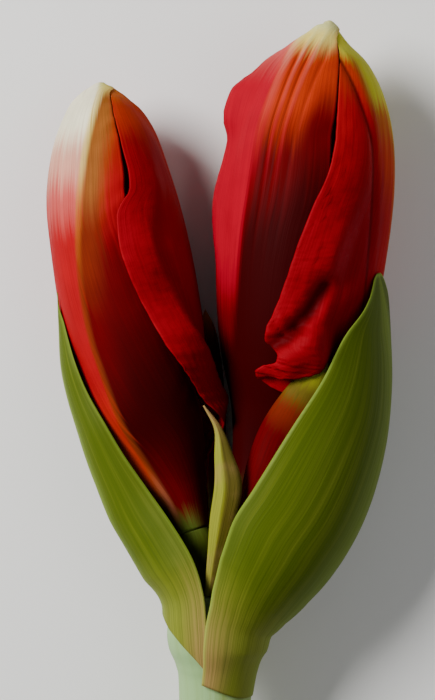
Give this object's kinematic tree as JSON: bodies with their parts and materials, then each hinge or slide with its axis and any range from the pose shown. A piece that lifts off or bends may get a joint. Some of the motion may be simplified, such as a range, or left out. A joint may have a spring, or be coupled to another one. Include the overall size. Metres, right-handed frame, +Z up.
{
  "type": "amaryllis in bud",
  "caption": "Cut amaryllis stem in bud, laid down: large red buds about to open, small closed buds, green spathe valves and a hollow scape.",
  "frame": {"origin": "middle of the whole flower's footprint, on the surface that it lies on", "axes": "+Y along the stem from the cut end to the bud tips, +Z up, away from the surface, towards the side that the picture shows"},
  "size_m": [0.0908, 0.3034, 0.0464],
  "materials": {
    "scape": "smooth waxy pale green stem",
    "spathe": "satin olive green bract with fine parallel veins",
    "bracteole": "satin yellow-green bract",
    "stalk": "smooth dark green",
    "tepal": "velvety deep red with fine veins, cream and yellow-green at the tip",
    "inner_tepal": "velvety dark red",
    "small_bud": "satin brown-red with a yellow-green tip",
    "stamens": "matte cream"
  },
  "bodies": {
    "root": {"scape": "scape", "spathe_valve_left": "spathe", "spathe_valve_right": "spathe", "bracteole": "bracteole", "left_stalk": "stalk", "right_stalk": "stalk", "third_stalk": "stalk", "fourth_stalk": "stalk", "left_outer_tepal_front": "tepal", "left_outer_tepal_flap": "tepal", "left_outer_tepal_back": "tepal", "left_inner_tepal_1": "inner_tepal", "left_inner_tepal_2": "inner_tepal", "left_inner_tepal_3": "inner_tepal", "left_stamens": "stamens", "right_outer_tepal_left": "tepal", "right_outer_tepal_flap": "tepal", "right_outer_tepal_back": "tepal", "right_inner_tepal_1": "inner_tepal", "right_inner_tepal_2": "inner_tepal", "right_inner_tepal_3": "inner_tepal", "right_stamens": "stamens", "third_bud": "small_bud", "fourth_bud": "small_bud"}
  },
  "joints": []
}
